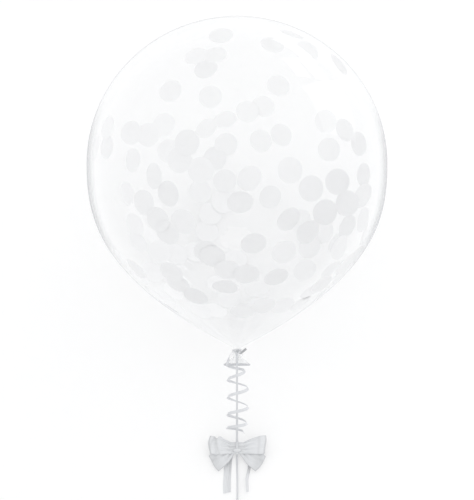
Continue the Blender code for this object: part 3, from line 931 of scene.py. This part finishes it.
class BALLOON_OT_neck_ribbon(bpy.types.Operator):
    """Winds the ribbon round the neck and ties it in a small knot"""

    bl_idname = "balloon.neck_ribbon"
    bl_label = "Ribbon round the neck"
    bl_options = {"REGISTER", "UNDO"}

    def execute(self, context):
        settings = context.scene.balloon_ribbon
        lying = balloon_matrix()
        middle = -TAPER_LENGTH - NECK_LENGTH / 2
        inner = NECK_RADIUS + CLEARANCE
        steps = 48
        wraps = []
        for k in range(2 * steps + 1):
            turn = 2 * math.pi * k / steps - math.pi / 2
            radius = inner + 0.0003 + 0.00008 * math.cos(3 * turn)
            height = middle + 0.0012 * (1 - k / steps)
            wraps.append(Vector((radius * math.cos(turn), radius * math.sin(turn), height)))
        band = ribbon_strip("neck_band", wraps, Vector((0, 0, 1)), NECK_BAND_WIDTH, settings.sheet * 1.8)
        top = Vector((0, -inner - 0.0013, middle))
        loops = []
        for k in range(61):
            turn = 2 * math.pi * k / 60 * 0.97 + 0.2
            x = 0.00085 * (math.sin(turn) + 2 * math.sin(2 * turn))
            z = 0.00045 * (math.cos(turn) - 2 * math.cos(2 * turn))
            loops.append(top + Vector((x, -0.00055 * math.sin(3 * turn), z)))
        knot = ribbon_strip("neck_knot_loops", loops, Vector((0.3, 0.0, 1.0)), KNOT_LOOP_WIDTH, settings.sheet * 2)
        stub = smooth_line([top + Vector(place) for place in KNOT_STUB], KNOT_STEP)
        end = ribbon_strip("neck_knot_end", stub, Vector((-0.55, -0.5, 0.6)), KNOT_END_WIDTH, settings.sheet)
        # Painted shade on the far part of the knot's cut end, which the ribbon's finish darkens
        add_numbers(end.data, "stub_shade", [part_way(vert.co.x, 0.0030, 0.0042) for vert in end.data.vertices])
        lead = [lying.inverted() @ Vector((0, y, z)) + Vector((0, 0.0004, 0)) for y, z in NECK_STRETCH[:2]]
        under = [top + Vector((0, 0.0002, 0.0004)), top + Vector((0, 0.0001, -0.0007)), *lead]
        under = smooth_line(under, KNOT_STEP)
        start = ribbon_strip("neck_knot_start", under, Vector((1, 0, 0)), KNOT_END_WIDTH, settings.sheet)
        made = join_all([band, knot, end, start], "neck_ribbon")
        made.data.transform(lying)
        dress(made, ribbon_finish(settings))
        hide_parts("ribbon_knot")
        return {"FINISHED"}


class BALLOON_OT_bow(bpy.types.Operator):
    """Folds four satin loops out from a gathered waist"""

    bl_idname = "balloon.bow"
    bl_label = "Bow loops"
    bl_options = {"REGISTER", "UNDO"}

    def execute(self, context):
        settings = context.scene.balloon_bow
        droop = self.resting_droop()
        loops = []
        upper = {"lean": -1.5, "rise": 0.17, "base": LOOP_STAGGER, "lift": 0.0020}
        lower = {"lean": -34.0, "rise": -0.135, "base": -LOOP_STAGGER, "lift": -droop}
        for side, phase, longer in ((-1, 0.9, -0.0006), (1, 0.0, 0.0)):
            loops.append(self.loop(settings, "upper", side, settings.upper_length + longer, phase, **upper))
            loops.append(self.loop(settings, "lower", side, settings.lower_length + longer, phase + 1.7, **lower))
        made = join_all([self.waist(), *loops], "bow")
        dress(made, satin_finish(settings))
        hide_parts("bow_loops")
        return {"FINISHED"}

    @staticmethod
    def loop_depth(out):
        """How deep a loop is between its two layers."""
        return 0.0030 + 0.0042 * rounded(out)

    def resting_droop(self):
        """How far a lower loop droops when its underside just comes down to the tails on the floor."""
        room = []
        for k in range(15, 28):
            turn = 2 * math.pi * k / 28
            out = (1 - math.cos(turn)) / 2
            low = BOW_PLACE.z - LOOP_STAGGER - LOOP_REST_HEIGHT + self.loop_depth(out) / 2 * math.sin(turn)
            room.append(low / out)
        return min(room)

    def loop(self, settings, name, side, length, phase, lean, rise, base, lift):
        """One loop of ribbon that goes out, turns over and comes back to the waist. It leans by degrees, rises
        along its length, starts at a base height and is lifted at its far end."""
        place = Matrix.Translation(BOW_PLACE + Vector((*LOOP_ROOT, 0))) @ Matrix.Rotation(math.radians(lean), 4, "Z")
        mirror = Matrix.Diagonal((side, 1, 1, 1))
        # The upper left loop is the crushed one
        crushed = 1.0 if side < 0 and name == "upper" else 0.0

        def shape(across, along):
            turn = 2 * math.pi * along
            q = 2 * across - 1
            out = (1 - math.cos(turn)) / 2
            u = length * out
            top = crushed * max(0.0, math.sin(turn))
            high = max(0.0, q)
            # The two layers lie on each other at the lower edge and stand apart at the upper one
            pressed = ((1 - q) / 2) ** 1.3
            room = (self.loop_depth(out) - settings.sheet) * (1 - pressed) + 2.4 * settings.sheet * pressed
            w = base + room / 2 * math.sin(turn) + lift * out
            half = (settings.root_width + (LOOP_RIBBON - settings.root_width) * rounded(out)) / 2
            # Folds fan out from the waist, and the turned end waves a little
            gathers = settings.gather * (1 - out) ** 1.1 * min(1.0, out * 6 + 0.3)
            w += gathers * math.cos(3.6 * math.pi * q + phase) * (0.55 + 0.45 * pressed if turn > math.pi else 1.0)
            w += 0.0007 * out * math.sin(turn) * math.cos(1.6 * q + phase) * (1 - pressed)
            # Two dents in the crushed loop's top, the ends that bulge, and a wavy edge
            w -= top * (0.0011 * hump(out, 0.72 + 0.10 * q, 0.10) + 0.0007 * hump(out, 0.42 - 0.12 * q, 0.08))
            u += 0.0006 * out**3 * math.sin(2.4 * q + phase) - 0.0004 * out * q * q
            u -= 0.0014 * crushed * out**4 * max(0.0, q - 0.2)
            lifted = crushed * (0.0016 * hump(out, 0.46, 0.10) * high - 0.0020 * hump(out, 0.66, 0.06) * high**2)
            lifted += 0.0006 * math.sin(5.5 * out + phase) * pressed * math.sin(math.pi * out)
            return mirror @ (place @ Vector((u, rise * u + q * half + lifted, w)))

        # Painted shade: how dark each point of the loop is painted, for the shade on its lower layer, in the gathers
        # by the waist, in dark bands towards and at the turned end, and in the crushed loop's creases
        def fold(across, along):
            turn = 2 * math.pi * along
            out = (1 - math.cos(turn)) / 2
            q = 2 * across - 1
            if turn > 1.08 * math.pi:
                return UNDERSIDE_SHADE
            deep = 0.30 * (1 - out) ** 3 * (0.6 + 0.4 * math.cos(3.6 * math.pi * q + phase + math.pi))
            if name == "upper":
                deep += 0.85 * part_way(out, 0.92, 0.95) + 0.45 * hump(out, 0.70, 0.06)
            else:
                deep += 0.20 + 0.5 * part_way(out, 0.955, 0.985) + 0.35 * part_way(out, 0.6, 0.85)
                deep += 0.45 * hump(q, 0.5 * out - 0.15, 0.20) * out
            deep += 0.8 * crushed * hump(out, 0.90 - 0.16 * q, 0.045) * (0.5 + 0.5 * q)
            deep += 0.5 * crushed * hump(out, 0.62 + 0.08 * q, 0.05)
            return max(0.0, deep)

        return sheet_grid("bow_" + name, 24, 64, shape, settings.sheet, fold)

    @staticmethod
    def waist():
        """The gathered middle of the bow, round under the tie and flatter at its ends."""
        deselect_all()
        bpy.ops.mesh.primitive_cylinder_add(vertices=96, radius=1.0, depth=2.0, end_fill_type="NGON")
        made = bpy.context.object
        bpy.ops.object.mode_set(mode="EDIT")
        bpy.ops.mesh.select_all(action="DESELECT")
        work = bmesh.from_edit_mesh(made.data)
        for edge in work.edges:
            if abs(edge.verts[0].co.z - edge.verts[1].co.z) > 0.5:
                edge.select = True
        bmesh.update_edit_mesh(made.data)
        bpy.ops.mesh.subdivide(number_cuts=13)
        bpy.ops.object.mode_set(mode="OBJECT")
        deep = []
        for vert in made.data.vertices:
            share = abs(vert.co.z)
            turn = math.atan2(vert.co.y, vert.co.x)
            wide = WAIST_HALF_WIDTH - 0.0002 * share
            high = WAIST_HALF_HEIGHT - 0.0013 * share**2
            wave = math.cos(15 * turn + 2.2 * math.sin(2 * turn) + 0.8 * vert.co.z)
            fold = 1 + 0.03 * (1 - abs(wave) ** 0.6 * math.copysign(1, -wave)) / 2 + 0.02 * wave
            # Painted shade: the waist is painted a little darker all over, and darkest in the troughs of its gathers
            deep.append(0.42 - 0.30 * wave)
            y, z = wide * math.cos(turn) * fold, high * math.sin(turn) * fold
            vert.co = BOW_PLACE + Vector((math.copysign(share, vert.co.z) * WAIST_HALF_LENGTH, y, z))
        add_numbers(made.data, "fold", deep)
        made.data.uv_layers[0].name = "along"
        smooth(made, 60)
        return made


class BALLOON_OT_bow_tie(bpy.types.Operator):
    """Ties the bow's waist with a narrow ribbon and lays its two tails on the floor"""

    bl_idname = "balloon.bow_tie"
    bl_label = "Bow tie and tails"
    bl_options = {"REGISTER", "UNDO"}

    def execute(self, context):
        settings = context.scene.balloon_bow
        pieces = [self.band(settings), self.knot()]
        left = {"root": -0.0020, "offset": -0.0096, "end_offset": -0.0096, "width": 0.0076, "roll": 0.0, "phase": 0.0}
        right = {"root": 0.0020, "offset": 0.0124, "end_offset": 0.0104, "width": 0.0042, "roll": 50.0, "phase": 1.3}
        pieces += [self.tail(settings, "left", **left), self.tail(settings, "right", **right)]
        made = join_all(pieces, "bow_tie_ribbon")
        dress(made, satin_finish(settings))
        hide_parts("bow_tie")
        return {"FINISHED"}

    @staticmethod
    def band(settings):
        """The tying ribbon, bunched narrow where it goes round the waist."""

        def shape(across, along):
            turn = 2 * math.pi * along * 1.03 + 2.4
            q = 2 * across - 1
            stand = CLEARANCE + 0.0003 + 0.00035 * (1 - q * q) + 0.0001 * math.cos(5 * math.pi * q)
            y = (WAIST_HALF_WIDTH + stand) * math.cos(turn)
            z = (WAIST_HALF_HEIGHT + stand) * math.sin(turn)
            return BOW_PLACE + Vector((0.0011 * q + 0.0002 * math.sin(turn), y, z))

        # Painted shade: the band is painted darker towards both edges, where it lies close against the waist
        def fold(across, along):
            return 0.35 * (2 * across - 1) ** 2

        return sheet_grid("bow_band", 10, 72, shape, settings.sheet, fold)

    @staticmethod
    def knot():
        """The flat oval knot at the front of the waist."""
        deselect_all()
        bpy.ops.mesh.primitive_uv_sphere_add(segments=40, ring_count=24, radius=1.0)
        made = bpy.context.object
        out = Vector((0, -0.30, 0.954))
        down = Vector((0, -0.954, -0.30))
        centre = BOW_PLACE + Vector((0, -0.0033, 0.00245)) + out * 0.0006
        deep = []
        for vert in made.data.vertices:
            x, y, z = vert.co
            groove = 0.35 * hump(y, 0.0, 0.20) * max(0.0, 1 - abs(x)) * max(0.0, z)
            ridge = 0.06 * math.cos(9 * x + 3 * y)
            # Painted shade: the knot is painted darker round its rim and along its middle groove
            deep.append(1.3 * part_way(math.hypot(x, y), 0.72, 0.92) + 1.2 * groove)
            stand = 0.0015 * (z * (1 + ridge) - groove)
            vert.co = centre + Vector((0.0048 * x, 0, 0)) + down * (0.0020 * y) + out * stand
        add_numbers(made.data, "fold", deep)
        made.data.uv_layers[0].name = "along"
        made.data.shade_smooth()
        select_only(made)
        bpy.ops.object.mode_set(mode="EDIT")
        bpy.ops.mesh.select_all(action="SELECT")
        bpy.ops.mesh.normals_make_consistent(inside=False)
        bpy.ops.object.mode_set(mode="OBJECT")
        return made

    @staticmethod
    def tail(settings, name, root, offset, end_offset, width, roll, phase):
        """One end of the tying ribbon, which comes down from the knot and lies on the floor, flat or rolled
        a little on its edge."""
        low = 0.0001 + settings.sheet / 2
        roll = math.radians(roll)

        def shape(across, along):
            run = TIE_TAIL_LENGTH * along
            run -= 0.0016 * (across - 0.5) * max(0.0, along - 0.8) / 0.2
            spread = rounded(min(run / TIE_SPREAD_LENGTH, 1.0))
            middle = root + (offset - root) * spread + (end_offset - offset) * eased(part_way(run, 0.020, 0.034))
            half = (TAIL_ROOT_WIDTH + (width - TAIL_ROOT_WIDTH) * spread) / 2
            q = 2 * across - 1
            # It comes down off the knot, lies, and its end curls up a little
            down = max(0.0, 1 - run / 0.0065)
            turned = roll * spread
            free = part_way(run, 0.030, 0.046)
            z = low + 0.0034 * eased(down) + half * (1 - q) * math.sin(turned)
            z += free * (0.0007 * (1 + math.sin(260 * run + phase)) + 0.0006 * (1 + math.sin(2.2 * q + phase)) / 2)
            z += 0.0009 * spread * max(0.0, 1 - abs(q - 0.1) / 0.5) * math.cos(turned) * (1 - down)
            sway = 0.0005 * math.sin(120 * run + phase) * min(1.0, run / 0.012)
            return Vector((middle + sway + q * half * math.cos(turned), BOW_PLACE.y - run, z))

        # Painted shade: the flat left tail is painted darker along a strip right of its middle, and the rolled right
        # tail all across; both are painted less dark further from the knot
        def fold(across, along):
            late = part_way(TIE_TAIL_LENGTH * along, 0.022, 0.028)
            if roll:
                return 1.0 - 0.8 * late
            return hump(2 * across - 1, 0.5, 0.34) * (1.1 - 0.65 * late)

        return sheet_grid("bow_tail_" + name, 12, 48, shape, settings.sheet, fold)


class BALLOON_OT_coil_band(bpy.types.Operator):
    """Wraps a short strip once round the coil of spare ribbon"""

    bl_idname = "balloon.coil_band"
    bl_label = "Band round the coil"
    bl_options = {"REGISTER", "UNDO"}

    def execute(self, context):
        half_width = (COIL_OUTER_RADIUS - COIL_INNER_RADIUS) / 2 + CLEARANCE + COIL_TIE_THICKNESS / 2
        half_height = (RIBBON_WIDTH + 2 * CLEARANCE + COIL_TIE_THICKNESS) / 2
        middle = (COIL_OUTER_RADIUS + COIL_INNER_RADIUS) / 2
        rise = COIL_TIE_THICKNESS / 2 + half_height
        corner = 0.0009
        around = []
        for cx, cz, start in ((1, 1, 0), (-1, 1, 90), (-1, -1, 180), (1, -1, 270), (1, 1, 360)):
            bend = corner + (CLEARANCE if start == 360 else 0.0)
            for k in range(7):
                turn = math.radians(start + 15 * k)
                x = cx * (half_width - corner) + bend * math.cos(turn)
                z = cz * (half_height - corner) + bend * math.sin(turn)
                around.append(Vector((middle + x, 0, rise + z)))
        around.append(around[-1] - Vector((0.0025, 0, 0)))
        turned = Matrix.Translation(COIL_CENTRE) @ Matrix.Rotation(COIL_TIE_ANGLE, 4, "Z")
        line = smooth_line([turned @ p for p in around], 0.0005)
        across = turned.to_3x3() @ Vector((0, 1, 0))
        made = ribbon_strip("coil_band", line, across, COIL_TIE_WIDTH, COIL_TIE_THICKNESS * 0.7)
        dress(made, ribbon_finish(context.scene.balloon_ribbon))
        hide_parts("coil_tie")
        return {"FINISHED"}


class BALLOON_OT_ribbon(bpy.types.Operator):
    """Runs the ribbon's long end from the neck through the bow and along the floor, and coils what is spare"""

    bl_idname = "balloon.ribbon"
    bl_label = "Ribbon"
    bl_options = {"REGISTER", "UNDO"}

    def execute(self, context):
        settings = context.scene.balloon_ribbon
        route = [(0, y, z) for y, z in NECK_STRETCH + CURL_STRETCH + BOW_STRETCH] + LEAD_STRETCH
        coil = self.coil_line(settings.coil_turns)
        lead = smooth_line([*route, coil[0]], LEAD_STEP)[:-1]
        centres = lead + coil
        acrosses = []
        for i, centre in enumerate(lead):
            run = heading(centres, i)
            side = (Vector((1, 0, 0)) - run * run.x).normalized()
            turn = math.radians(between(RIBBON_TWIST, centre.y))
            acrosses.append(side * math.cos(turn) + run.cross(side) * math.sin(turn))
        acrosses += [Vector((0, 0, 1))] * len(coil)
        made = ribbon_strip("ribbon", centres, acrosses, RIBBON_WIDTH, settings.sheet)
        dress(made, ribbon_finish(settings))
        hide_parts("ribbon_top", "ribbon_bottom", "ribbon_lead", "ribbon_coil")
        round(line_length(centres), 3)
        return {"FINISHED"}

    @staticmethod
    def coil_line(turns):
        """The spare ribbon's turns on edge, from the outside in."""
        steps = 36
        outer = COIL_OUTER_RADIUS - 0.00015
        inner = COIL_INNER_RADIUS + 0.00015
        points = []
        for k in range(turns * steps + 1):
            turn = math.pi + 2 * math.pi * k / steps
            radius = outer + (inner - outer) * k / (turns * steps)
            points.append(COIL_CENTRE + Vector((radius * math.cos(turn), radius * math.sin(turn), COIL_START_HEIGHT)))
        return points


class BALLOON_OT_curl(bpy.types.Operator):
    """Winds the ribbon's curled short end round the long one"""

    bl_idname = "balloon.curl"
    bl_label = "Curled ribbon end"
    bl_options = {"REGISTER", "UNDO"}

    def execute(self, context):
        settings = context.scene.balloon_ribbon
        toward, up = view_directions(context.scene.balloon_stage.elevation)
        line = smooth_line([(0, y, z) for y, z in NECK_STRETCH + CURL_STRETCH + BOW_STRETCH], 0.001)
        heights = [place.dot(up) for place in line]
        points = [Vector(point) for point in CURL_START]
        count = 220
        for k in range(count + 1):
            step = k / count * (len(CURL_REACHES) - 1)
            low = min(int(step), len(CURL_REACHES) - 2)
            share = step - low
            (above, reach), (below, next_reach) = CURL_REACHES[low : low + 2]
            height = above + (below - above) * (share if low else rounded(share) ** 0.8)
            radius = reach + (next_reach - reach) * share
            i = min(range(len(line) - 1), key=lambda n: abs(heights[n] - height))
            past = (height - heights[i]) / (heights[i + 1] - heights[i])
            centre = line[i] + (line[i + 1] - line[i]) * max(-1.0, min(1.0, past))
            turn = math.pi * (1 + step)
            points.append(centre + Vector((radius * math.cos(turn), 0, 0)) + toward * (radius * math.sin(turn)))
        centres = smooth_line(points, CURL_STEP)
        acrosses = []
        for i, centre in enumerate(centres):
            near = min(range(len(line)), key=lambda n: (line[n] - Vector((0, centre.y, centre.z))).length)
            run = heading(line, near)
            outward = centre - line[near]
            outward = (outward - run * outward.dot(run)).normalized()
            lean = CURL_LEAN + 0.06 * math.sin(i / 17)
            # The first bit shows its edge in the front view, where it leaves the knot
            acrosses.append((run * math.cos(lean) + outward * math.sin(lean)).lerp(toward, max(0.0, 1 - i / 14)))
        made = ribbon_strip("curl", centres, acrosses, RIBBON_WIDTH, settings.sheet)
        dress(made, ribbon_finish(settings))
        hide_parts("ribbon_curl")
        round(line_length(centres), 3)
        return {"FINISHED"}


class BALLOON_OT_stage(bpy.types.Operator):
    """Lays a plain pale floor and sets the soft lights and the camera"""

    bl_idname = "balloon.stage"
    bl_label = "Stage"
    bl_options = {"REGISTER", "UNDO"}

    def execute(self, context):
        settings = context.scene.balloon_stage
        deselect_all()
        bpy.ops.mesh.primitive_plane_add(size=14.0, location=(0, 0, 0))
        floor = bpy.context.object
        floor.name = floor.data.name = "floor"
        floor.data.materials.append(floor_finish(settings))
        world = bpy.data.worlds.new("surround")
        world.use_nodes = True
        background = world.node_tree.nodes["Background"]
        background.inputs["Color"].default_value = (0.99, 0.995, 1.0, 1.0)
        background.inputs["Strength"].default_value = settings.surround
        context.scene.world = world
        context.scene.view_settings.view_transform = "Standard"
        self.mirrored("side_light", settings, settings.side_light, p=0.62, q=0.36, width=0.26, height=0.32)
        for p in (0.37, 0.475):
            for q in (0.62, 0.745):
                self.mirrored("window_pane", settings, settings.window, p, q, width=0.085, height=0.10)
        self.camera(context, settings)
        return {"FINISHED"}

    @staticmethod
    def mirrored(name, settings, brightness, p, q, width, height):
        """A rectangular light whose reflection on the film shows at p to the right of and q above its middle
        in the front view, width by height across, all in balloon radii."""
        toward, up = view_directions(settings.elevation)

        def direction(across, above):
            depth = math.sqrt(1 - across * across - above * above)
            wall = Vector((across, 0, 0)) + up * above + toward * depth
            return wall * (2 * depth) - toward

        away = direction(p, q)
        right = direction(p + width / 2, q) - direction(p - width / 2, q)
        rising = direction(p, q + height / 2) - direction(p, q - height / 2)
        bpy.ops.object.light_add(type="AREA", location=LIGHT_AIM + away * LIGHT_DISTANCE)
        light = bpy.context.object
        light.name = name
        light.data.shape = "RECTANGLE"
        light.data.size, light.data.size_y = right.length * LIGHT_DISTANCE, rising.length * LIGHT_DISTANCE
        light.data.energy = brightness * math.pi * light.data.size * light.data.size_y
        across = (right - away * right.dot(away)).normalized()
        light.rotation_euler = Matrix((across, away.cross(across), away)).transposed().to_euler()

    @staticmethod
    def camera(context, settings):
        """A long lens square to the balloon's axis, which frames it as the photograph does."""
        toward, up = view_directions(settings.elevation)
        distance = settings.view_height * settings.lens / SENSOR_WIDTH
        place = up * settings.view_centre + toward * (FRAMED_PLACE.dot(toward) + distance)
        bpy.ops.object.camera_add(location=place, rotation=(-toward).to_track_quat("-Z", "Y").to_euler())
        camera = bpy.context.object
        camera.data.lens = settings.lens
        camera.data.sensor_width = SENSOR_WIDTH
        camera.data.clip_start = 0.05
        camera.data.clip_end = 60.0
        context.scene.camera = camera


class BALLOON_PT_panel(bpy.types.Panel):
    """Lists the steps that make the balloon."""

    bl_idname = "BALLOON_PT_panel"
    bl_label = "Confetti balloon"
    bl_space_type = "VIEW_3D"
    bl_region_type = "UI"
    bl_category = "Balloon"

    def draw(self, context):
        for step in STEPS:
            self.layout.operator(step.bl_idname)


GROUPS = {
    "balloon_film": FilmSettings,
    "balloon_confetti": ConfettiSettings,
    "balloon_ribbon": RibbonSettings,
    "balloon_bow": BowSettings,
    "balloon_stage": StageSettings,
}
STEPS = (
    BALLOON_OT_stage,
    BALLOON_OT_film,
    BALLOON_OT_confetti,
    BALLOON_OT_neck_ribbon,
    BALLOON_OT_bow,
    BALLOON_OT_bow_tie,
    BALLOON_OT_coil_band,
    BALLOON_OT_ribbon,
    BALLOON_OT_curl,
)
CLASSES = (*GROUPS.values(), *STEPS, BALLOON_PT_panel)


def register():
    """Adds the settings, the operators and the panel to Blender."""
    for made in CLASSES:
        bpy.utils.register_class(made)
    for name, group in GROUPS.items():
        setattr(bpy.types.Scene, name, PointerProperty(type=group))


def unregister():
    """Takes them out again."""
    for name in GROUPS:
        delattr(bpy.types.Scene, name)
    for made in reversed(CLASSES):
        bpy.utils.unregister_class(made)


def main():
    """Registers the add-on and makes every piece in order."""
    register()
    bpy.ops.balloon.stage()
    bpy.ops.balloon.film()
    bpy.ops.balloon.confetti()
    bpy.ops.balloon.neck_ribbon()
    bpy.ops.balloon.bow()
    bpy.ops.balloon.bow_tie()
    bpy.ops.balloon.coil_band()
    bpy.ops.balloon.ribbon()
    bpy.ops.balloon.curl()
    deselect_all()
    bpy.context.view_layer.update()


if __name__ == "__main__":
    main()
